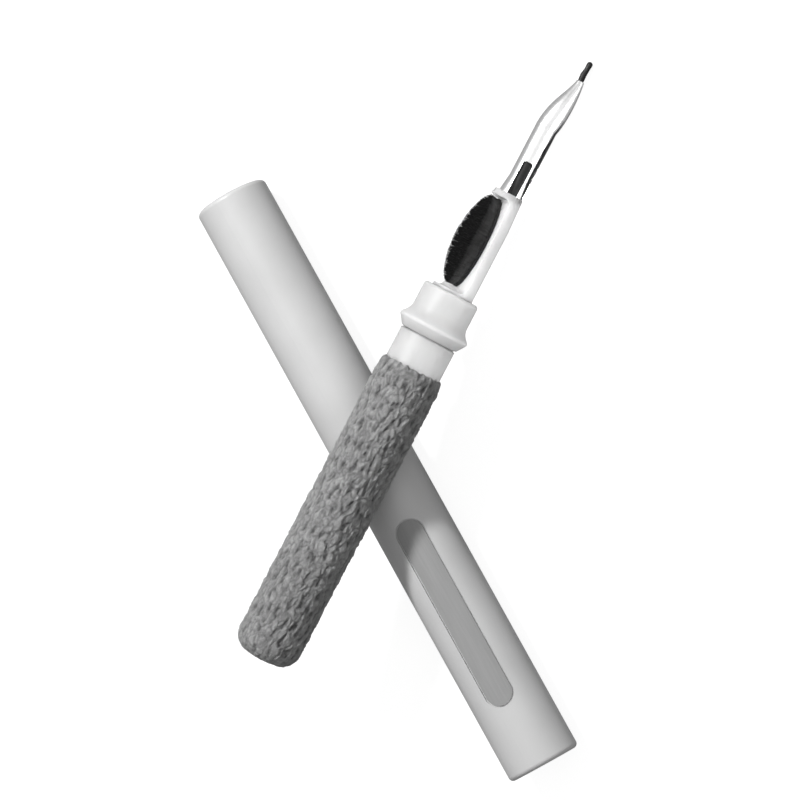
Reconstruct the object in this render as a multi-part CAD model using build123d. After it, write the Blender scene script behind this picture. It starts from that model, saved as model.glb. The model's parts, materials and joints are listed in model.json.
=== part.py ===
from build123d import *
from math import asin, atan2, cos, hypot, radians, sin
import os

# A three-in-one cleaning pen lying across its closed carrying case. The case is a cap
# and a barrel pushed together. The pen has a fleece sleeve at one end, and a side brush
# and a steel nib at the other. Millimetres, +Z up, the floor at Z = 0.

# --- Driving dimensions -------------------------------------------------------------

# Case: two thin tubes, each closed at its far end.
CASE_LENGTH = 133.0
CAP_LENGTH = 59.5
CASE_RADIUS = 7.8
CASE_WALL = 1.2
CASE_END_FILLET = 1.0
MOUTH_CHAMFER = 0.15
BARREL_LENGTH = CASE_LENGTH - CAP_LENGTH
CASE_BORE_RADIUS = CASE_RADIUS - CASE_WALL

# Liners: bushes pressed into both mouths. The cap's one stands proud and plugs the barrel.
LINER_BORE_RADIUS = 6.1
LINER_LENGTH = 12.0
PLUG_LENGTH = 2.8
PLUG_CLEARANCE = 0.05
PLUG_END_GAP = 0.7

# Label: a blank oblong inlay in a shallow recess of the barrel, with a groove round it.
# It lies LABEL_TURN degrees off the top of the case as it rests, on the nib's side.
LABEL_LENGTH = 42.7
LABEL_WIDTH = 6.2
LABEL_FROM_BARREL_END = 14.1
LABEL_RECESS_DEPTH = 0.4
LABEL_BELOW_FLUSH = 0.1
LABEL_GROOVE = 0.3
LABEL_TURN = 14.0

# Handle: a plastic core with a wide neck, wrapped in foam and then in fleece.
PEN_LENGTH = 137.0
PLUSH_LENGTH = 66.3
PLUSH_RADIUS = 7.1
PLUSH_END_ROUND = 3.6
PLUSH_TOP_ROUND = 0.7
NECK_RADIUS = 6.0
NECK_START = 62.0
NECK_TOP = 72.9
CORE_RADIUS = 4.6
CORE_BORE_RADIUS = 3.6
CORE_START = 6.0
PLUG_DISC_START = 4.0
PLUG_SHANK_TOP = 14.0
PAD_START = 1.4
PAD_ROUND = 2.4

# Collar: a flared ridge that both halves of the case stop against, and a spigot above it.
# A narrow groove parts it from the neck.
PARTING_WIDTH = 0.3
PARTING_DEPTH = 0.35
RIDGE_UNDER_RADIUS = 6.1
RIDGE_CREST_START = (7.32, 74.95)
RIDGE_CREST_END = (7.25, 75.85)
RIDGE_TOP = 78.4
SPIGOT_RADIUS = 6.0
SPIGOT_TOP = 83.3
SPIGOT_ROUND = 0.7
COLLAR_TAIL_START = 65.0
SOCKET_START = 76.0

# Stem: round, then drawn in and set over towards the nib.
STEM_RADIUS = 4.4
STEM_SHANK_RADIUS = 2.9
STEM_ROUND_TOP = 99.0
STEM_TOP = 106.2
STEM_TOP_RADIUS = 3.05
STEM_TOP_SHIFT = -0.95

# Brush: a leaf-shaped bed of bristles, let into a flat that is scooped out of the stem.
# Its levels are distances from the stem's axis.
BRUSH_FACING = 41.0
FLAT_LOW = 83.9
FLAT_HIGH = 104.9
FLAT_LEVEL = 0.25
FLAT_END_ROUND = 1.0
BRUSH_LOW = 84.7
BRUSH_HIGH = 104.5
BRUSH_HALF_WIDTH = 3.35
BRUSH_SEAT = 0.0
BRUSH_BASE_TOP = 0.6
BRUSH_TIP = 4.45
BRUSH_INSET = 0.15
BRUSH_CROWN_ACROSS = 12.0
BRUSH_CROWN_ALONG = 29.0

# Nib: a rolled steel shell with a window and an open seam, over a black core.
NIB_SHIFT = -1.45
NIB_RADIUS = 2.3
NIB_SEAT = 105.1
NIB_STRAIGHT_TOP = 121.0
NIB_FOOT_RADIUS = 2.75
NIB_FOOT_TOP = 109.8
CORE_ROD_RADIUS = 1.7
CORE_CLEARANCE = 0.03
SHANK_RADIUS = 0.7
SHANK_START = 97.0
WINDOW_TOP = 113.5
WINDOW_LOW_X = -2.8
WINDOW_HIGH_X = -0.7
WINDOW_ROUND = 0.45
SEAM_WIDTH = 1.7
SEAM_NARROWS = 117.0
SEAM_TOP = 124.5
SEAM_TURN = 160.0
TIP_RADIUS = 0.6
TIP_SHIFT = -3.22

# The taper of the nib: height, radius, sideways shift of the centre.
SHELL_TAPER = [
    (NIB_STRAIGHT_TOP, 2.33, -1.45),
    (123.7, 2.42, -1.80),
    (126.7, 2.10, -2.27),
    (129.7, 1.45, -2.82),
    (132.6, 0.78, -3.15),
]
ROD_TAPER = [
    (NIB_STRAIGHT_TOP, CORE_ROD_RADIUS, -1.45),
    (126.0, 1.25, -2.15),
    (129.7, 0.80, -2.82),
    (132.6, 0.60, -3.15),
]
TIP_BENDS = [
    (132.6, 0.60, -3.15),
    (134.1, 0.64, -3.04),
    (135.3, 0.54, -3.18),
    (PEN_LENGTH - TIP_RADIUS, TIP_RADIUS, TIP_SHIFT),
]

# Resting place: the pen crosses the case, its nib on the floor.
CROSS_FROM_CAP_END = 62.2
CROSS_ON_PEN = 45.9
CROSS_ANGLE = 57.1
REST_GAP = 0.3


# --- Small helpers -------------------------------------------------------------------

BASE = (Align.CENTER, Align.CENTER, Align.MIN)


def tube(outer, inner, low, high):
    """A round tube, or a rod where the inner radius is 0, standing between two heights."""
    height = high - low
    body = Pos(0, 0, low) * Cylinder(outer, height, align=BASE)
    if inner:
        body -= Pos(0, 0, low) * Cylinder(inner, height, align=BASE)
    return body


def tapered(stations, ruled=False):
    """A round solid through (height, radius, shift) stations: smooth, or in straight steps."""
    rings = [Pos(shift, 0, height) * Circle(radius) for height, radius, shift in stations]
    return loft(rings, ruled=ruled)


# --- Case, standing on its barrel end along its own Z -------------------------------


def closed_shell(length):
    """A tube closed and rounded at Z = 0, open at the top, with softened mouth edges."""
    form = fillet(
        Cylinder(CASE_RADIUS, length, align=BASE).edges().group_by(Axis.Z)[0],
        CASE_END_FILLET,
    )
    shell = form - tube(CASE_BORE_RADIUS, 0, CASE_WALL, length)
    return chamfer(shell.edges().group_by(Axis.Z)[-1], MOUTH_CHAMFER)


def label_prism(grow):
    """The oblong of the label, run outwards through the wall on the +X side."""
    middle = LABEL_FROM_BARREL_END + LABEL_LENGTH / 2
    side = Plane(origin=(0, 0, middle), x_dir=(0, 0, 1), z_dir=(1, 0, 0))
    outline = SlotOverall(LABEL_LENGTH + 2 * grow, LABEL_WIDTH + 2 * grow)
    return Rot(0, 0, LABEL_TURN) * extrude(side * outline, CASE_RADIUS + 1)


def case_pieces():
    floor_radius = CASE_RADIUS - LABEL_RECESS_DEPTH
    label_top = CASE_RADIUS - LABEL_BELOW_FLUSH
    recess = label_prism(0) - tube(floor_radius, 0, 0, BARREL_LENGTH)
    panel = label_prism(-LABEL_GROOVE) & tube(label_top, floor_radius, 0, BARREL_LENGTH)
    liner_top = BARREL_LENGTH - PLUG_LENGTH - PLUG_END_GAP

    mouth_down = Pos(0, 0, CASE_LENGTH) * Rot(180, 0, 0)
    fixed = tube(CASE_BORE_RADIUS, LINER_BORE_RADIUS, BARREL_LENGTH, BARREL_LENGTH + LINER_LENGTH)
    plug = tube(
        CASE_BORE_RADIUS - PLUG_CLEARANCE,
        LINER_BORE_RADIUS,
        BARREL_LENGTH - PLUG_LENGTH,
        BARREL_LENGTH,
    )
    return {
        "case_barrel": closed_shell(BARREL_LENGTH) - recess,
        "barrel_liner": tube(
            CASE_BORE_RADIUS, LINER_BORE_RADIUS, liner_top - LINER_LENGTH, liner_top
        ),
        "label_panel": panel,
        "case_cap": mouth_down * closed_shell(CAP_LENGTH),
        "cap_liner": fixed + plug,
    }


# --- Pen, standing on its fleece end along its own Z --------------------------------


def handle_pieces():
    inside = fillet(
        tube(NECK_RADIUS, 0, PAD_START, PLUSH_LENGTH).edges().group_by(Axis.Z)[0], PAD_ROUND
    )
    outside = tube(PLUSH_RADIUS, 0, 0, PLUSH_LENGTH)
    outside = fillet(outside.edges().group_by(Axis.Z)[0], PLUSH_END_ROUND)
    outside = fillet(outside.edges().group_by(Axis.Z)[-1], PLUSH_TOP_ROUND)
    core = tube(CORE_RADIUS, CORE_BORE_RADIUS, CORE_START, NECK_START)
    neck = tube(NECK_RADIUS, CORE_BORE_RADIUS, NECK_START, NECK_TOP)
    disc = tube(CORE_RADIUS, 0, PLUG_DISC_START, CORE_START)
    shank = tube(CORE_BORE_RADIUS, 0, CORE_START, PLUG_SHANK_TOP)
    return {
        "plush_sleeve": outside - inside,
        "foam_end_pad": inside & tube(NECK_RADIUS, 0, 0, PLUG_DISC_START),
        "foam_tube": tube(NECK_RADIUS, CORE_RADIUS, PLUG_DISC_START, NECK_START),
        "handle_core": core + neck,
        "core_end_plug": disc + shank,
    }


def collar():
    """The ridge with its hollow flare, the spigot, and a tail down the handle's bore."""
    step_radius = NECK_RADIUS - PARTING_DEPTH
    under = NECK_TOP + PARTING_WIDTH
    with BuildPart() as made:
        with BuildSketch(Plane.XZ):
            with BuildLine():
                Polyline(
                    (0, NECK_TOP),
                    (step_radius, NECK_TOP),
                    (step_radius, under),
                    (RIDGE_UNDER_RADIUS, under),
                )
                cone = Line((RIDGE_UNDER_RADIUS, under), RIDGE_CREST_START)
                crest = TangentArc(cone @ 1, RIDGE_CREST_END, tangent=cone % 1)
                spigot_low = (SPIGOT_RADIUS, RIDGE_TOP)
                flare = Spline(crest @ 1, spigot_low, tangents=(crest % 1, (0, 1)))
                side = Line(flare @ 1, (SPIGOT_RADIUS, SPIGOT_TOP - SPIGOT_ROUND))
                shoulder = (SPIGOT_RADIUS - SPIGOT_ROUND, SPIGOT_TOP)
                edge = TangentArc(side @ 1, shoulder, tangent=(0, 1))
                Polyline(edge @ 1, (0, SPIGOT_TOP), (0, NECK_TOP))
            make_face()
        revolve(axis=Axis.Z)
    tail = tube(CORE_BORE_RADIUS, 0, COLLAR_TAIL_START, NECK_TOP)
    return made.part + tail - tube(STEM_SHANK_RADIUS, 0, SOCKET_START, SPIGOT_TOP)


def leaf(inset, low, high):
    """The brush outline, run out square to the seat between two distances from the axis."""
    length = BRUSH_HIGH - BRUSH_LOW - 2 * inset
    half_width = BRUSH_HALF_WIDTH - inset
    seat = Plane(
        origin=(0, 0, (BRUSH_LOW + BRUSH_HIGH) / 2), x_dir=(0, 0, 1), z_dir=(1, 0, 0)
    )
    outline = seat.offset(low) * Ellipse(length / 2, half_width)
    return Rot(0, 0, BRUSH_FACING) * extrude(outline, high - low)


def stem_scoop():
    """A block that cuts the brush's flat across the stem, its two lower edges rounded."""
    block = Pos(FLAT_LEVEL, 0, (FLAT_LOW + FLAT_HIGH) / 2) * Box(
        2 * STEM_RADIUS,
        3 * STEM_RADIUS,
        FLAT_HIGH - FLAT_LOW,
        align=(Align.MIN, Align.CENTER, Align.CENTER),
    )
    corners = block.edges().filter_by(Axis.Y).group_by(Axis.X)[0]
    return Rot(0, 0, BRUSH_FACING) * fillet(corners, FLAT_END_ROUND)


def brush_crown():
    """Two crossed barrels that round the bristle tips across and along the brush."""
    middle = (BRUSH_LOW + BRUSH_HIGH) / 2
    across = Pos(BRUSH_TIP - BRUSH_CROWN_ACROSS, 0, middle) * Cylinder(BRUSH_CROWN_ACROSS, 40)
    along = (
        Pos(BRUSH_TIP - BRUSH_CROWN_ALONG, 0, middle)
        * Rot(90, 0, 0)
        * Cylinder(BRUSH_CROWN_ALONG, 40)
    )
    return Rot(0, 0, BRUSH_FACING) * (across & along)


def nib_window():
    """A block that opens the shell's upper side above the stem, its two top corners rounded."""
    block = Pos((WINDOW_LOW_X + WINDOW_HIGH_X) / 2, 0, STEM_TOP) * Box(
        WINDOW_HIGH_X - WINDOW_LOW_X,
        2 * NIB_FOOT_RADIUS,
        WINDOW_TOP - STEM_TOP,
        align=(Align.CENTER, Align.MIN, Align.MIN),
    )
    corners = block.edges().filter_by(Axis.Y).group_by(Axis.Z)[-1]
    return fillet(corners, WINDOW_ROUND)


def nib_seam():
    """The gap between the rolled edges, which closes towards the tip."""
    half = SEAM_WIDTH / 2
    outline = Polygon(
        (-half, STEM_TOP),
        (half, STEM_TOP),
        (half, SEAM_NARROWS),
        (0, SEAM_TOP),
        (-half, SEAM_NARROWS),
        align=None,
    )
    side = Plane(origin=(0, 0, 0), x_dir=(0, 1, 0), z_dir=(1, 0, 0))
    return Rot(0, 0, SEAM_TURN) * extrude(side * outline, 2 * NIB_FOOT_RADIUS)


def core_rod(grow):
    """The straight and the tapered stretch of the nib's core, grown all round."""
    straight = tube(CORE_ROD_RADIUS + grow, 0, NIB_SEAT, NIB_STRAIGHT_TOP)
    taper = tapered([(height, radius + grow, shift) for height, radius, shift in ROD_TAPER])
    return Pos(NIB_SHIFT, 0, 0) * straight + taper


def head_pieces():
    over = Pos(NIB_SHIFT, 0, 0)
    shank = tube(SHANK_RADIUS, 0, SHANK_START, NIB_SEAT)
    bead = Pos(TIP_SHIFT, 0, PEN_LENGTH - TIP_RADIUS) * Sphere(TIP_RADIUS)
    rod = core_rod(0) + over * shank + tapered(TIP_BENDS, ruled=True) + bead

    foot_height = NIB_FOOT_TOP - STEM_TOP
    foot = Pos(0, 0, STEM_TOP) * Cone(NIB_FOOT_RADIUS, NIB_RADIUS, foot_height, align=BASE)
    shell = over * (tube(NIB_RADIUS, 0, NIB_SEAT, NIB_STRAIGHT_TOP) + foot)
    shell += tapered(SHELL_TAPER)
    shell = shell - core_rod(CORE_CLEARANCE) - nib_window() - over * nib_seam()

    stem = tube(STEM_RADIUS, 0, SPIGOT_TOP, STEM_ROUND_TOP)
    stem += tapered([
        (STEM_ROUND_TOP, STEM_RADIUS, 0),
        (STEM_TOP, STEM_TOP_RADIUS, STEM_TOP_SHIFT),
    ])
    stem += tube(STEM_SHANK_RADIUS, 0, SOCKET_START, SPIGOT_TOP)
    stem -= stem_scoop() + leaf(0, BRUSH_SEAT, 2 * STEM_RADIUS)
    stem -= over * (tube(NIB_RADIUS, 0, NIB_SEAT, STEM_TOP) + shank)
    return {
        "tool_stem": stem,
        "brush_base": leaf(BRUSH_INSET, BRUSH_SEAT, BRUSH_BASE_TOP),
        "brush_bristles": leaf(2 * BRUSH_INSET, BRUSH_BASE_TOP, BRUSH_TIP) & brush_crown(),
        "nib_shell": shell,
        "nib_core": rod,
    }


# --- Resting place -------------------------------------------------------------------


def pen_tilt():
    """How far the plane of the crossing leans, so that the nib's end just meets the floor."""
    spread = radians(CROSS_ANGLE)
    end_height = PEN_LENGTH - TIP_RADIUS - CROSS_ON_PEN
    drop = sin(spread) * end_height - cos(spread) * TIP_SHIFT
    rise = CASE_RADIUS + PLUSH_RADIUS + REST_GAP
    return asin((CASE_RADIUS - TIP_RADIUS) / hypot(drop, rise)) + atan2(rise, drop)


def case_plane():
    """The case lies along X, its cap towards +X and the side with the label up."""
    return Plane(origin=(-CASE_LENGTH / 2, 0, CASE_RADIUS), x_dir=(0, 0, 1), z_dir=(1, 0, 0))


def pen_plane():
    """The pen's own frame: Z from fleece to nib, Y along the common normal."""
    lean = pen_tilt()
    spread = radians(CROSS_ANGLE)
    normal = Vector(0, -sin(lean), cos(lean))
    along = Vector(cos(spread), -sin(spread) * cos(lean), -sin(spread) * sin(lean))
    crossing = Vector(CASE_LENGTH / 2 - CROSS_FROM_CAP_END, 0, CASE_RADIUS)
    crossing += normal * (CASE_RADIUS + PLUSH_RADIUS + REST_GAP)
    return Plane(
        origin=crossing - along * CROSS_ON_PEN,
        x_dir=normal.cross(along),
        z_dir=along,
    )


def placed_pieces():
    pen = {**handle_pieces(), "collar": collar(), **head_pieces()}
    placed = {name: case_plane() * piece for name, piece in case_pieces().items()}
    placed.update({name: pen_plane() * piece for name, piece in pen.items()})
    boxes = [piece.bounding_box() for piece in placed.values()]
    middle_x = (min(box.min.X for box in boxes) + max(box.max.X for box in boxes)) / 2
    middle_y = (min(box.min.Y for box in boxes) + max(box.max.Y for box in boxes)) / 2
    shift = Vector(-middle_x, -middle_y, -min(box.min.Z for box in boxes))
    return {name: Pos(*shift) * piece for name, piece in placed.items()}, shift


def main():
    os.makedirs("parts", exist_ok=True)
    placed, shift = placed_pieces()
    for name, piece in placed.items():
        export_step(piece, f"parts/{name}.step")
    print("shift", shift)


main()
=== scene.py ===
"""The looks of a lens cleaning pen that lies across its case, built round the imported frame.

Everything is in metres, in the frame's own axes: +X along the case, +Z up.
"""

import json
import math

import bpy
import numpy as np
from mathutils import Matrix, Vector

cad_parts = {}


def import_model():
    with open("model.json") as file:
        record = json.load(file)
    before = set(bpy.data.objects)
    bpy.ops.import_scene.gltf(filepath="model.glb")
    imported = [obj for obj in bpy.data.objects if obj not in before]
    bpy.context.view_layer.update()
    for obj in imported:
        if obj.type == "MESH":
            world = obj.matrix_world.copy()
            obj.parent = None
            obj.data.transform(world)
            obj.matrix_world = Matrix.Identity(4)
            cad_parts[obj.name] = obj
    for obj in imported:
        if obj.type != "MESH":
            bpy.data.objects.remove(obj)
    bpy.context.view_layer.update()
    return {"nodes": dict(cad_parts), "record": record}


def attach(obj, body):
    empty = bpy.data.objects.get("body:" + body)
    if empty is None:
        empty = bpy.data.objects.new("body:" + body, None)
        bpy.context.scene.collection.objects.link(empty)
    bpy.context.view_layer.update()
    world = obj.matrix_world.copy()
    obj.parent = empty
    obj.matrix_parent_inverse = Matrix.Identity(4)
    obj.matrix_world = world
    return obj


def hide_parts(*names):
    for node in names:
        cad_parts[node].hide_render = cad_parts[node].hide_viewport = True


MM = 0.001

# --- The pen's own measures, along its axis from the fleece end ------------------------

SPIGOT_LOW = 78.4 * MM
PLUSH_LENGTH = 66.3 * MM
PLUSH_RADIUS = 7.1 * MM
PLUSH_END_ROUND = 3.6 * MM
NECK_RADIUS = 6.0 * MM
PAD_START = 1.4 * MM
PAD_ROUND = 2.4 * MM
CORE_RADIUS = 4.6 * MM
FOAM_START = 4.0 * MM
FOAM_TOP = 62.0 * MM
BRUSH_LOW = 84.7 * MM
BRUSH_HIGH = 104.5 * MM
BRUSH_HALF_WIDTH = 3.35 * MM
BRUSH_FACING = math.radians(41)
BRUSH_ROOT = 0.5 * MM
BRUSH_TIP = 4.45 * MM

# --- Camera: the photograph's viewing angle --------------------------------------------

CAMERA_AIM = Vector((0.01155, 0.00805, 0.015))
CAMERA_AZIMUTH = math.radians(-14.21)
CAMERA_ELEVATION = math.radians(67.36)
CAMERA_ROLL = math.radians(105.92)
CAMERA_DISTANCE = 0.7393
CAMERA_LENS = 165.0
CAMERA_SENSOR = 36.0


def pen_frame(record):
    """The pen's frame: origin at its fleece end, Z towards the nib, Y up, X on the brush's side."""
    spigot = next(m for m in record["mounts"] if m["name"] == "collar_spigot")
    along = Vector(spigot["axis"]).normalized()
    middle = SPIGOT_LOW + spigot["dims"]["length_mm"] * MM / 2
    origin = Vector(spigot["pos_m"]) - along * middle
    up = along.cross(Vector((1, 0, 0))).normalized()
    side = up.cross(along)
    matrix = Matrix((side, up, along)).transposed().to_4x4()
    matrix.translation = origin
    return matrix


# --- Node helpers ------------------------------------------------------------------------


class Nodes:
    """A small writer of node trees: each call adds a node and sets or links its inputs."""

    def __init__(self, tree):
        self.tree = tree
        tree.nodes.clear()

    def add(self, kind, inputs=None, **settings):
        node = self.tree.nodes.new(kind)
        for name, value in settings.items():
            setattr(node, name, value)
        for name, value in (inputs or {}).items():
            if isinstance(value, bpy.types.NodeSocket):
                self.tree.links.new(value, node.inputs[name])
            else:
                node.inputs[name].default_value = value
        return node

    def noise(self, vector, scale, detail=3.0, roughness=0.5):
        inputs = {"Vector": vector, "Scale": scale, "Detail": detail, "Roughness": roughness}
        return self.add("ShaderNodeTexNoise", inputs).outputs["Fac"]

    def ramp(self, fac, low, high, at=(0.3, 0.7)):
        """Two greys mixed by a factor, between two places on it."""
        node = self.add("ShaderNodeValToRGB", {"Fac": fac})
        for stop, place, value in zip(node.color_ramp.elements, at, (low, high)):
            stop.position = place
            stop.color = grey(value)
        return node.outputs["Color"]

    def span(self, value, low, high):
        """A factor of 0 to 1 spread from low to high."""
        inputs = {"Value": value, "To Min": low, "To Max": high}
        return self.add("ShaderNodeMapRange", inputs).outputs["Result"]

    def bump(self, height, distance, strength=1.0, normal=None):
        inputs = {"Height": height, "Distance": distance, "Strength": strength}
        if normal is not None:
            inputs["Normal"] = normal
        return self.add("ShaderNodeBump", inputs).outputs["Normal"]


def grey(value):
    return (value, value, value, 1.0)


def new_material(name):
    material = bpy.data.materials.new(name)
    material.use_nodes = True
    return material, Nodes(material.node_tree)


def close_material(n, inputs):
    shader = n.add("ShaderNodeBsdfPrincipled", inputs)
    n.add("ShaderNodeOutputMaterial", {"Surface": shader.outputs["BSDF"]})


def place(n):
    return n.add("ShaderNodeTexCoord").outputs["Object"]


# --- Materials ---------------------------------------------------------------------------


def moulded_plastic(name, low, high, roughness, scatter=0.0):
    """Moulded plastic: faint blotches of shade, fine spark-eroded grain, light rubbing."""
    material, n = new_material(name)
    where = place(n)
    blotch = n.noise(where, 90.0, 4.0)
    grains = n.noise(where, 5200.0, 2.0)
    rubbed = n.noise(where, 700.0, 6.0, 0.65)
    waves = n.noise(where, 60.0, 1.0)
    soft = n.bump(waves, 0.03 * MM, 0.5)
    close_material(n, {
        "Base Color": n.ramp(blotch, low, high),
        "Roughness": n.span(rubbed, roughness - 0.06, roughness + 0.06),
        "Normal": n.bump(grains, 0.004 * MM, 0.6, soft),
        "Subsurface Weight": scatter,
        "Subsurface Radius": (6.0, 6.0, 6.0),
        "Subsurface Scale": MM,
    })
    return material


def label_print():
    """Matt printed inlay: fine stipple and faint drawn lines along the case."""
    material, n = new_material("label_print")
    where = place(n)
    drawn = n.add("ShaderNodeMapping", {"Vector": where, "Scale": (120.0, 2600.0, 2600.0)})
    lines = n.noise(drawn.outputs["Vector"], 1.0, 3.0)
    stipple = n.noise(where, 6500.0, 2.0)
    close_material(n, {
        "Base Color": n.ramp(lines, 0.255, 0.28),
        "Roughness": n.span(stipple, 0.5, 0.62),
        "Normal": n.bump(stipple, 0.006 * MM, 0.6),
    })
    return material


def fleece():
    """Curly grey fleece, with painted shade in the pile's hollows and furrows and at the edges of
    its curls.
    """
    material, n = new_material("fleece")
    where = place(n)
    # Painted shade: the pile value is low in the creases between locks and in the furrows, and the
    # colour darkens with it.
    pile = n.add("ShaderNodeAttribute", attribute_name="pile").outputs["Fac"]
    body = n.ramp(pile, 0.085, 0.52, at=(0.13, 0.87))
    patches = n.ramp(n.noise(where, 240.0, 4.0), 0.82, 1.0)
    bent = n.noise(where, 2200.0, 2.0)
    bent = n.add("ShaderNodeVectorMath", {0: where, 1: bent, 2: (0.0003, 0.0003, 0.0003)},
                 operation="MULTIPLY_ADD").outputs["Vector"]
    curls = n.add("ShaderNodeTexVoronoi", {"Vector": bent, "Scale": 1900.0})
    curls = curls.outputs["Distance"]
    # Painted shade: the colour darkens towards the edges of the curls' cells, where their bump
    # sinks.
    fibres = n.ramp(curls, 1.0, 0.8, at=(0.25, 0.75))
    fleece_grey_with_painted_shade = n.add("ShaderNodeMix", {0: 1.0, 6: body, 7: patches}, data_type="RGBA",
                 blend_type="MULTIPLY")
    fleece_grey_with_painted_shade = n.add("ShaderNodeMix", {0: 1.0, 6: fleece_grey_with_painted_shade.outputs[2], 7: fibres}, data_type="RGBA",
                 blend_type="MULTIPLY")
    close_material(n, {
        "Base Color": fleece_grey_with_painted_shade.outputs[2],
        "Roughness": 0.95,
        "Specular IOR Level": 0.15,
        "Sheen Weight": 0.25,
        "Sheen Roughness": 0.6,
        "Normal": n.bump(n.noise(where, 9000.0, 3.0, 0.7), 0.03 * MM, 0.8,
                         n.bump(curls, -0.12 * MM, 0.8)),
    })
    return material


def fleece_fibre():
    material, n = new_material("fleece_fibre")
    close_material(n, {
        "Base Color": n.ramp(n.noise(place(n), 1500.0), 0.20, 0.36),
        "Roughness": 0.8,
        "Specular IOR Level": 0.2,
        "Sheen Weight": 0.2,
    })
    return material


def nylon():
    """Black nylon bristles: a soft shine on their sides, dull cut ends, and painted shade that
    darkens them towards their tips.
    """
    material, n = new_material("nylon")
    along = n.add("ShaderNodeAttribute", attribute_name="along").outputs["Fac"]
    sides = n.ramp(n.noise(place(n), 900.0), 0.05, 0.10)
    # Painted shade: the colour falls to near black towards the bristles' tips.
    ends = n.ramp(along, 1.0, 0.08, at=(0.6, 0.97))
    shade = n.add("ShaderNodeMix", {0: 1.0, 6: sides, 7: ends}, data_type="RGBA",
                  blend_type="MULTIPLY")
    close_material(n, {
        "Base Color": shade.outputs[2],
        "Roughness": n.ramp(along, 0.4, 0.8, at=(0.6, 0.97)),
        "Specular IOR Level": n.ramp(along, 0.5, 0.05, at=(0.6, 0.97)),
    })
    return material


def black_plastic():
    material, n = new_material("black_plastic")
    where = place(n)
    grains = n.noise(where, 4200.0, 3.0)
    close_material(n, {
        "Base Color": n.ramp(n.noise(where, 500.0), 0.008, 0.018),
        "Roughness": n.span(grains, 0.42, 0.6),
        "Specular IOR Level": 0.35,
        "Normal": n.bump(grains, 0.01 * MM, 0.7),
    })
    return material


def polished_steel():
    """Bright steel with a hair-fine grain and faint handling marks."""
    material, n = new_material("polished_steel")
    where = place(n)
    marks = n.noise(where, 1400.0, 6.0, 0.7)
    fine = n.noise(where, 7000.0, 2.0)
    close_material(n, {
        "Base Color": n.ramp(marks, 0.84, 0.92),
        "Metallic": 1.0,
        "Roughness": n.span(marks, 0.26, 0.38),
        "Normal": n.bump(fine, 0.0015 * MM, 0.5),
    })
    return material


def open_foam():
    material, n = new_material("open_foam")
    where = place(n)
    cells = n.add("ShaderNodeTexVoronoi", {"Vector": where, "Scale": 2600.0}).outputs["Distance"]
    close_material(n, {
        # Painted shade: the colour is darker in the cells' pits, where the bump sinks.
        "Base Color": n.ramp(cells, 0.45, 0.62),
        "Roughness": 0.9,
        "Normal": n.bump(cells, 0.06 * MM),
    })
    return material


# --- Mesh helpers ------------------------------------------------------------------------


def mesh_object(name, points, faces, material, smooth=True):
    mesh = bpy.data.meshes.new(name)
    mesh.from_pydata(points, [], faces)
    mesh.polygons.foreach_set("use_smooth", [smooth] * len(mesh.polygons))
    mesh.materials.append(material)
    mesh.update()
    made = bpy.data.objects.new(name, mesh)
    bpy.context.scene.collection.objects.link(made)
    return made


def point_values(piece, name, values):
    """Stores one number for each vertex, for its material to read."""
    layer = piece.data.attributes.new(name, "FLOAT", "POINT")
    layer.data.foreach_set("value", np.asarray(values, dtype=np.float32))


def unit(vectors):
    return vectors / np.maximum(np.linalg.norm(vectors, axis=-1, keepdims=True), 1e-12)


def to_world(matrix, points):
    m = np.array(matrix)
    return points @ m[:3, :3].T + m[:3, 3]


def fibres(name, paths, radii, sides, material):
    """Many closed thin rods in one mesh. paths is (rods, stations, 3), radii (rods, stations)."""
    rods, stations, _ = paths.shape
    along = unit(np.gradient(paths, axis=1))
    spare = np.where(np.abs(along[..., 2:3]) < 0.9, [[[0.0, 0.0, 1.0]]], [[[1.0, 0.0, 0.0]]])
    first = unit(np.cross(along, spare))
    second = np.cross(along, first)
    turn = np.arange(sides) * 2 * math.pi / sides
    ring = (
        first[:, :, None] * np.cos(turn)[:, None] + second[:, :, None] * np.sin(turn)[:, None]
    )
    points = (paths[:, :, None] + ring * radii[:, :, None, None]).reshape(-1, 3)

    here = np.arange(stations - 1)[:, None] * sides + np.arange(sides)
    beside = np.arange(stations - 1)[:, None] * sides + (np.arange(sides) + 1) % sides
    walls = np.stack([here, beside, beside + sides, here + sides], axis=-1).reshape(-1, 4)
    base = (np.arange(rods) * stations * sides)[:, None, None]
    faces = (walls + base).reshape(-1, 4).tolist()
    last = (stations - 1) * sides
    for start in range(0, rods * stations * sides, stations * sides):
        faces.append([start + i for i in reversed(range(sides))])
        faces.append([start + last + i for i in range(sides)])
    made = mesh_object(name, points, faces, material)
    along = np.tile(np.repeat(np.linspace(0, 1, stations), sides), rods)
    point_values(made, "along", along)
    return made


# --- Turned pieces -----------------------------------------------------------------------


def lathe(rows, turns):
    """Points of (height, radius) rows turned round the pen's axis: rows x turns x 3."""
    turn = np.arange(turns) * 2 * math.pi / turns
    x = rows[:, 1:2] * np.cos(turn)
    y = rows[:, 1:2] * np.sin(turn)
    z = np.broadcast_to(rows[:, 0:1], x.shape)
    return np.stack([x, y, z], axis=2)


def outward(rows):
    """Normals of a section that runs out and up, as (height, radius) rows."""
    step = unit(np.gradient(rows, axis=0))
    return np.stack([-step[:, 1], step[:, 0]], axis=1)


def turned_mesh(name, pen, rings, material):
    """A closed mesh through rings of points, its first and last ring filled."""
    count, turns, _ = rings.shape
    faces = []
    for ring in range(count - 1):
        low = ring * turns
        for i in range(turns):
            j = (i + 1) % turns
            faces.append((low + i, low + j, low + turns + j, low + turns + i))
    faces.append(tuple(reversed(range(turns))))
    faces.append(tuple((count - 1) * turns + i for i in range(turns)))
    return mesh_object(name, to_world(pen, rings.reshape(-1, 3)), faces, material)


# --- Fleece sleeve -----------------------------------------------------------------------

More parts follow.
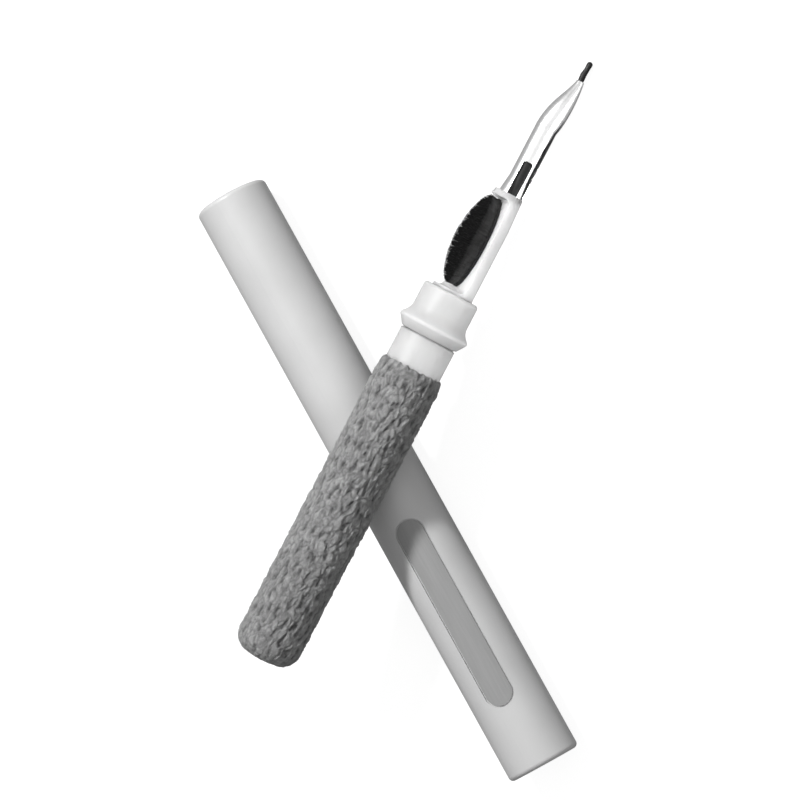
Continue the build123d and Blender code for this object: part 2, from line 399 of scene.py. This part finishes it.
PILE_ROOT = 0.42 * MM  # depth of the smooth base skin under the sleeve's full radius
CROWN = 0.35 * MM  # how far the closed end bulges in its middle
SHOULDER = 1.5 * MM  # height over which the top edge rounds down to the neck
FRAY = 0.08 * MM  # unevenness of the top edge
TURNS = 256
RING_STEP = 0.19 * MM
BIG_LOCK = 1.4 * MM
SMALL_LOCK = 0.7 * MM
LOCK_WANDER = 0.25
CREASE_WIDTH = 0.4
LOCK_TILT = 1.6
LOCK_RISE = (0.39, 0.22)  # mm, of the big and the small locks
FURROW_DEPTH = 0.26  # mm
SINK = 0.12  # mm, which brings the pile's crests level with the sleeve's full radius
FUZZ = 9000
FUZZ_STATIONS = 4


def sleeve_outline():
    """The sleeve's outer half section as (height, radius) rows, out from the pole to the neck."""
    radius = PLUSH_RADIUS - PILE_ROOT
    low = PILE_ROOT
    round_ = PLUSH_END_ROUND
    flat = radius - round_
    rows = []
    for share in np.linspace(0.004, 1, int(flat / RING_STEP)):
        rows.append((low + CROWN * share**2, flat * share))
    low += CROWN
    for turn in np.linspace(0, math.pi / 2, int(round_ * math.pi / 2 / RING_STEP))[1:]:
        rows.append((low + round_ * (1 - math.cos(turn)), flat + round_ * math.sin(turn)))
    top = PLUSH_LENGTH - SHOULDER
    for height in np.linspace(low + round_, top, int((top - low - round_) / RING_STEP))[1:]:
        rows.append((height, radius))
    lip = radius - NECK_RADIUS - 0.05 * MM
    for turn in np.linspace(0, math.pi / 2, 10)[1:]:
        rows.append((top + SHOULDER * math.sin(turn), radius - lip * (1 - math.cos(turn))))
    return np.array(rows)


def waves(points, across, along, rng, count):
    """A smooth random field over space, about -2 to 2, with waves this long across and along."""
    field = np.zeros(len(points))
    for _ in range(count):
        way = unit(rng.normal(0, 1, 3)) * 2 * math.pi * rng.uniform(0.75, 1.3)
        way /= (across, across, along)
        field += np.cos(points @ way + rng.random() * 2 * math.pi)
    return field * math.sqrt(2 / count)


def furrows(rows, across, along, rng, count=70):
    """A smooth random field over the sleeve's own skin: rows of it, by turns round the axis."""
    run = np.concatenate([[0], np.cumsum(np.linalg.norm(np.diff(rows, axis=0), axis=1))])
    turn = np.arange(TURNS) * 2 * math.pi / TURNS
    field = np.zeros((len(rows), TURNS))
    for _ in range(count):
        way = rng.random() * 2 * math.pi
        pitch = 2 * math.pi * rng.uniform(0.75, 1.3)
        round_ = round(math.cos(way) * pitch * PLUSH_RADIUS / across)
        phase = run * math.sin(way) * pitch / along + rng.random() * 2 * math.pi
        field += np.cos(turn * round_ + phase[:, None])
    return field * math.sqrt(2 / count)


def locks(points, size, length, wander, rng):
    """Packed locks of pile: their heights, and how near to a crest each point is.

    Space is cut into uneven cells of this size, this many times longer than wide. Each one is
    a lock, rounded down to the creases round it, and tilted a little its own way so that it
    lies over a neighbour.
    """
    drift = [waves(points, 1.7 * size, 2.7 * size, rng, 16) for _ in range(3)]
    places = (points + np.stack(drift, axis=1) * wander * size) / (size, size, size * length)
    home = np.floor(places).astype(int)
    table = rng.random((4096, 7))
    first = np.full(len(points), 9.0)
    second = first.copy()
    own = np.zeros(len(points), dtype=int)
    offset = np.zeros((len(points), 3))
    for step in np.ndindex(3, 3, 3):
        cell = home + step - 1
        key = (cell[:, 0] * 73856093 ^ cell[:, 1] * 19349663 ^ cell[:, 2] * 83492791) & 4095
        gap = places - (cell + 0.05 + 0.9 * table[key, :3])
        far = np.linalg.norm(gap, axis=1)
        nearer = far < first
        second = np.where(nearer, first, np.minimum(second, far))
        first = np.where(nearer, far, first)
        own[nearer] = key[nearer]
        offset[nearer] = gap[nearer]
    crest = 1 - np.exp((first - second) / CREASE_WIDTH)
    lean = ((table[own, 3:6] - 0.5) * offset).sum(axis=1) * LOCK_TILT
    return crest * (0.7 + 0.3 * table[own, 6] + lean), crest


def fleece_sleeve(pen, material, fibre_material):
    """The closed sleeve, its pile raised in locks and cut by furrows, and its loose fibres."""
    rng = np.random.default_rng(11)
    rows = sleeve_outline()
    out = lathe(outward(rows), TURNS)
    base = lathe(rows, TURNS)
    points = base.reshape(-1, 3)
    big, big_crest = locks(points, BIG_LOCK, 2.0, LOCK_WANDER, rng)
    small, small_crest = locks(points, SMALL_LOCK, 1.5, LOCK_WANDER, rng)
    field = furrows(rows, 1.8 * MM, 4.8 * MM, rng) + 0.35 * furrows(rows, MM, 2.2 * MM, rng)
    furrow = np.clip((-field - 0.2) / 1.4, 0, 1)
    # Furrows fade out towards the pole, where the unrolled skin would pinch them into rays.
    furrow *= np.clip((rows[:, 1:2] - 4 * MM) / (2.5 * MM), 0, 1)
    shape = (len(rows), TURNS)
    heights = (LOCK_RISE[0] * big + LOCK_RISE[1] * small).reshape(shape)
    heights = heights - FURROW_DEPTH * furrow - SINK
    # The relief is lower on the rounded end and at the top edge.
    calm = np.clip((rows[:, 0] - 0.5 * MM) / (5 * MM), 0.45, 1)
    calm *= np.clip((PLUSH_LENGTH - rows[:, 0]) / (2.5 * MM), 0.4, 1)
    heights *= calm[:, None]
    # Painted shade: the pile value falls in the creases round the locks and in the furrows, where
    # the fleece's colour is made darker.
    pile = (0.4 * big_crest + 0.3 * small_crest).reshape(shape) + 0.32 - 0.3 * furrow
    pile = np.clip(pile, 0, 1)
    heights *= np.clip((len(rows) - 1 - np.arange(len(rows))) / 3, 0, 1)[:, None] * MM
    outer = base + out * heights[:, :, None]
    near_top = np.clip(1 - (PLUSH_LENGTH - rows[:, 0:1]) / (2 * MM), 0, 1)
    outer[:, :, 2] += furrows(rows, 1.6 * MM, 60 * MM, rng, 30) * near_top * FRAY

    inner_radius = NECK_RADIUS + 0.02 * MM
    inner_rows = [(PLUSH_LENGTH - 0.8 * MM, inner_radius)]
    inner_rows += [(h, inner_radius) for h in np.linspace(PLUSH_LENGTH - 2 * MM, 5 * MM, 4)]
    inner_rows += [(PAD_START + 0.3 * MM, inner_radius - 1.5 * MM), (PAD_START - 0.1 * MM, MM)]
    inner = lathe(np.array(inner_rows), TURNS)
    rings = np.concatenate([outer, inner])
    sleeve = turned_mesh("plush_sleeve_fleece", pen, rings, material)
    # The painted shade is stored on the sleeve for its colour; the inner skin takes the darkest
    # value.
    shade = np.concatenate([pile.ravel(), np.zeros(len(inner_rows) * TURNS)])
    point_values(sleeve, "pile", shade)
    return sleeve, sleeve_fuzz(pen, outer, out, rng, fibre_material)


def sleeve_fuzz(pen, outer, out, rng, material):
    """Loose fibre ends that stand up from the pile and curl over."""
    rings = outer.shape[0]
    ring = rng.integers(20, rings - 3, FUZZ)
    turn = rng.integers(0, outer.shape[1], FUZZ)
    root = outer[ring, turn]
    normal = unit(out[ring, turn])
    swirl_way = unit(np.cross(normal, rng.normal(0, 1, (FUZZ, 3))))
    other = np.cross(normal, swirl_way)
    length = rng.uniform(0.35, 0.8, FUZZ)[:, None] * MM
    curl = rng.uniform(-1.6, 1.6, FUZZ)[:, None]
    stations = []
    for s in np.linspace(0, 1, FUZZ_STATIONS):
        rise = np.sin(s * 1.5) / 1.5 * 0.45
        stations.append(
            root
            + normal * (length * rise - 0.06 * MM * (1 - s))
            + swirl_way * length * s * s * 0.8
            + other * length * np.sin(curl * s) * 0.35
        )
    paths = np.stack(stations, axis=1)
    radii = np.linspace(0.018, 0.006, FUZZ_STATIONS)[None] * MM * np.ones((FUZZ, 1))
    return fibres("plush_sleeve_fuzz", to_world(pen, paths), radii, 3, material)


# --- Foam under the fleece ---------------------------------------------------------------


def foam_piece(name, pen, rows, material):
    """A turned foam piece whose skin is pitted by its open cells."""
    rng = np.random.default_rng(3)
    rings = lathe(np.array(rows), 96)
    pits = rng.random(rings.shape[:2]) ** 3 * 0.08 * MM
    pits[0] = 0
    pits[-1] = 0
    centre = rings * np.array([0.0, 0.0, 1.0])
    return turned_mesh(name, pen, rings - unit(rings - centre) * pits[:, :, None], material)


def foam_pieces(pen, material):
    outer, inner = NECK_RADIUS - 0.03 * MM, CORE_RADIUS + 0.03 * MM
    low, high = FOAM_START, FOAM_TOP
    tube_rows = [(low, inner), (low, outer - 0.2 * MM)]
    tube_rows += [(h, outer) for h in np.linspace(low + 0.2 * MM, high - 0.2 * MM, 150)]
    tube_rows += [(high, outer - 0.2 * MM), (high, inner)]
    tube_rows += [(h, inner) for h in np.linspace(high - MM, low + MM, 4)] + [(low, inner)]
    pad_rows = [(PAD_START + 0.02 * MM, 0.05 * MM), (PAD_START + 0.02 * MM, 3.5 * MM)]
    for turn in np.linspace(0.1, math.pi / 2, 9):
        pad_rows.append((PAD_START + PAD_ROUND * (1 - math.cos(turn)),
                         outer - PAD_ROUND * (1 - math.sin(turn))))
    pad_rows += [(low - 0.03 * MM, outer), (low - 0.03 * MM, 0.05 * MM)]
    return (
        foam_piece("foam_tube_cells", pen, tube_rows, material),
        foam_piece("foam_end_pad_cells", pen, pad_rows, material),
    )


# --- Brush -------------------------------------------------------------------------------

BRISTLE_GAP = 0.25 * MM
BRISTLE_RADIUS = 0.1 * MM
BRISTLE_SIDES = 5
BRISTLE_LEAN = (0.07, 0.10)  # at the brush's edge, across and along it
BRUSH_CROWN = (0.4, 1.65)  # mm, how far the trim falls to the edge, across and along


def brush(pen, material):
    """Bristles set in a close stagger over the leaf-shaped base, trimmed to a soft crown."""
    rng = np.random.default_rng(5)
    half_length = (BRUSH_HIGH - BRUSH_LOW) / 2 - 0.35 * MM
    half_width = BRUSH_HALF_WIDTH - 0.3 * MM
    step = BRISTLE_GAP * math.sqrt(3) / 2
    roots = []
    for row in range(-int(half_length / step), int(half_length / step) + 1):
        along = row * step
        reach = half_width * math.sqrt(max(0.0, 1 - (along / half_length) ** 2))
        first = (0.5 * (row % 2)) * BRISTLE_GAP
        for column in range(-int(reach / BRISTLE_GAP), int(reach / BRISTLE_GAP) + 1):
            across = first + column * BRISTLE_GAP
            if abs(across) <= reach:
                roots.append((across, along))
    roots = np.array(roots) + rng.normal(0, 0.025 * MM, (len(roots), 2))
    across, along = roots[:, 0] / half_width, roots[:, 1] / half_length
    tip = BRUSH_TIP - (BRUSH_CROWN[0] * across**2 + BRUSH_CROWN[1] * along**2) * MM
    tip += rng.normal(0, 0.02 * MM, len(roots))
    lean = np.stack([across * BRISTLE_LEAN[0], along * BRISTLE_LEAN[1]], axis=1)
    lean += rng.normal(0, 0.007, lean.shape)
    middle = (BRUSH_LOW + BRUSH_HIGH) / 2
    stations = []
    for share in np.linspace(0, 1, 4):
        out = BRUSH_ROOT + (tip - BRUSH_ROOT) * share
        off = lean * ((tip - BRUSH_ROOT) * share**1.5)[:, None]
        side, height = roots[:, 0] + off[:, 0], middle + roots[:, 1] + off[:, 1]
        stations.append(np.stack([out, side, height], axis=1))
    paths = np.stack(stations, axis=1)
    face = Matrix.Rotation(BRUSH_FACING, 4, "Z")
    radii = np.array([1.0, 1.0, 0.97, 0.75])[None] * BRISTLE_RADIUS * np.ones((len(roots), 1))
    return fibres("brush_bristles_nylon", to_world(pen @ face, paths), radii, BRISTLE_SIDES,
                  material)


# --- Stage -------------------------------------------------------------------------------


def camera_axes():
    """The camera's right, up and back directions in the picture."""
    a, e = CAMERA_AZIMUTH, CAMERA_ELEVATION
    back = Vector((math.sin(a) * math.cos(e), -math.cos(a) * math.cos(e), math.sin(e)))
    level = Vector((math.cos(a), math.sin(a), 0))
    rise = back.cross(level)
    right = level * math.cos(CAMERA_ROLL) - rise * math.sin(CAMERA_ROLL)
    up = level * math.sin(CAMERA_ROLL) + rise * math.cos(CAMERA_ROLL)
    return right, up, back


def make_camera():
    right, up, back = camera_axes()
    data = bpy.data.cameras.new("camera")
    data.lens = CAMERA_LENS
    data.sensor_width = CAMERA_SENSOR
    camera = bpy.data.objects.new("camera", data)
    bpy.context.scene.collection.objects.link(camera)
    matrix = Matrix((right, up, back)).transposed().to_4x4()
    matrix.translation = CAMERA_AIM + back * CAMERA_DISTANCE
    camera.matrix_world = matrix
    bpy.context.scene.camera = camera


def softbox(name, direction, distance, size, radiance):
    """A square soft light that faces the object; radiance is its brightness as a surface."""
    data = bpy.data.lights.new(name, "AREA")
    data.shape = "SQUARE"
    data.size = size
    data.energy = radiance * math.pi * size * size
    light = bpy.data.objects.new(name, data)
    bpy.context.scene.collection.objects.link(light)
    direction = direction.normalized()
    light.location = CAMERA_AIM + direction * distance
    light.rotation_mode = "QUATERNION"
    light.rotation_quaternion = direction.to_track_quat("Z", "Y")
    return light


def make_lights(pale_pieces):
    """A soft key over the picture's upper left corner and a weak panel behind the camera.

    A card on the right lifts the shaded side of the pale pieces alone.
    """
    right, up, back = camera_axes()
    from_left = -right * 0.60 + up * 0.47 + back * 0.65
    softbox("key", from_left, distance=0.75, size=0.09, radiance=235.0)
    softbox("overhead", back + right * 0.25, distance=1.0, size=1.3, radiance=0.55)
    pale = bpy.data.collections.new("pale_pieces")
    for piece in pale_pieces:
        pale.objects.link(piece)
    from_right = right * 0.80 - up * 0.35 + back * 0.48
    card = softbox("card", from_right, distance=0.6, size=0.5, radiance=4.2)
    card.light_linking.receiver_collection = pale
    world = bpy.data.worlds.new("studio")
    bpy.context.scene.world = world
    world.use_nodes = True
    n = Nodes(world.node_tree)
    way = n.add("ShaderNodeTexCoord").outputs["Generated"]
    toward = n.add("ShaderNodeVectorMath", {0: way, 1: from_left.normalized()},
                   operation="DOT_PRODUCT")
    glow = n.add("ShaderNodeMapRange", {
        "Value": toward.outputs["Value"],
        "From Min": -0.4,
        "From Max": 0.9,
        "To Min": 0.10,
        "To Max": 0.42,
    }, interpolation_type="SMOOTHSTEP")
    seen = n.add("ShaderNodeLightPath").outputs["Is Camera Ray"]
    strength = n.add("ShaderNodeMath", {0: glow.outputs["Result"], 1: seen},
                     operation="MAXIMUM")
    sky = n.add("ShaderNodeBackground", {"Color": grey(1.0), "Strength": strength.outputs[0]})
    n.add("ShaderNodeOutputWorld", {"Surface": sky.outputs["Background"]})
    bpy.context.scene.view_settings.view_transform = "Standard"


def make_floor():
    """Pale paper that glows for the camera alone, so that it throws little light back."""
    material, n = new_material("floor_paper")
    seen = n.add("ShaderNodeLightPath").outputs["Is Camera Ray"]
    close_material(n, {
        "Base Color": n.ramp(n.noise(place(n), 30.0), 0.27, 0.29),
        "Roughness": 0.9,
        "Specular IOR Level": 0.1,
        "Emission Color": grey(1.0),
        "Emission Strength": n.span(seen, 0.0, 0.88),
    })
    half = 3.0
    corners = [(-half, -half, 0), (half, -half, 0), (half, half, 0), (-half, half, 0)]
    floor = mesh_object("floor", corners, [(0, 1, 2, 3)], material, smooth=False)


# --- Dressing the frame ------------------------------------------------------------------


def dress(frame, finishes):
    """Gives each CAD node the material made for it."""
    for node, material in finishes.items():
        piece = frame["nodes"][node]
        piece.data.materials.clear()
        piece.data.materials.append(material)


def main():
    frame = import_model()
    pen = pen_frame(frame["record"])
    make_camera()
    pale_nodes = ("handle_core", "core_end_plug", "collar", "tool_stem", "nib_shell")
    make_lights([frame["nodes"][node] for node in pale_nodes])
    make_floor()

    case = moulded_plastic("case_plastic", 0.50, 0.54, 0.40)
    liner = moulded_plastic("liner_plastic", 0.50, 0.55, 0.45)
    white = moulded_plastic("white_plastic", 0.50, 0.54, 0.48, scatter=1.0)
    # Painted light: a lighter copy of the white plastic, for the tool stem, standing in for the
    # stronger light on it.
    painted_light_white = moulded_plastic("white_plastic_painted_light", 0.68, 0.72, 0.40, scatter=1.0)
    black = black_plastic()
    foam = open_foam()
    dress(frame, {
        "case_barrel": case,
        "case_cap": case,
        "barrel_liner": liner,
        "cap_liner": liner,
        "label_panel": label_print(),
        "handle_core": white,
        "core_end_plug": white,
        "collar": white,
        "tool_stem": painted_light_white,
        "brush_base": black,
        "nib_core": black,
        "nib_shell": polished_steel(),
    })

    sleeve, fuzz = fleece_sleeve(pen, fleece(), fleece_fibre())
    for piece in (sleeve, fuzz):
        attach(piece, "pen")
    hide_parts("plush_sleeve")

    for piece, node in zip(foam_pieces(pen, foam), ("foam_tube", "foam_end_pad")):
        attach(piece, "pen")
        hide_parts(node)

    bristles = brush(pen, nylon())
    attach(bristles, "pen")
    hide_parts("brush_bristles")


main()
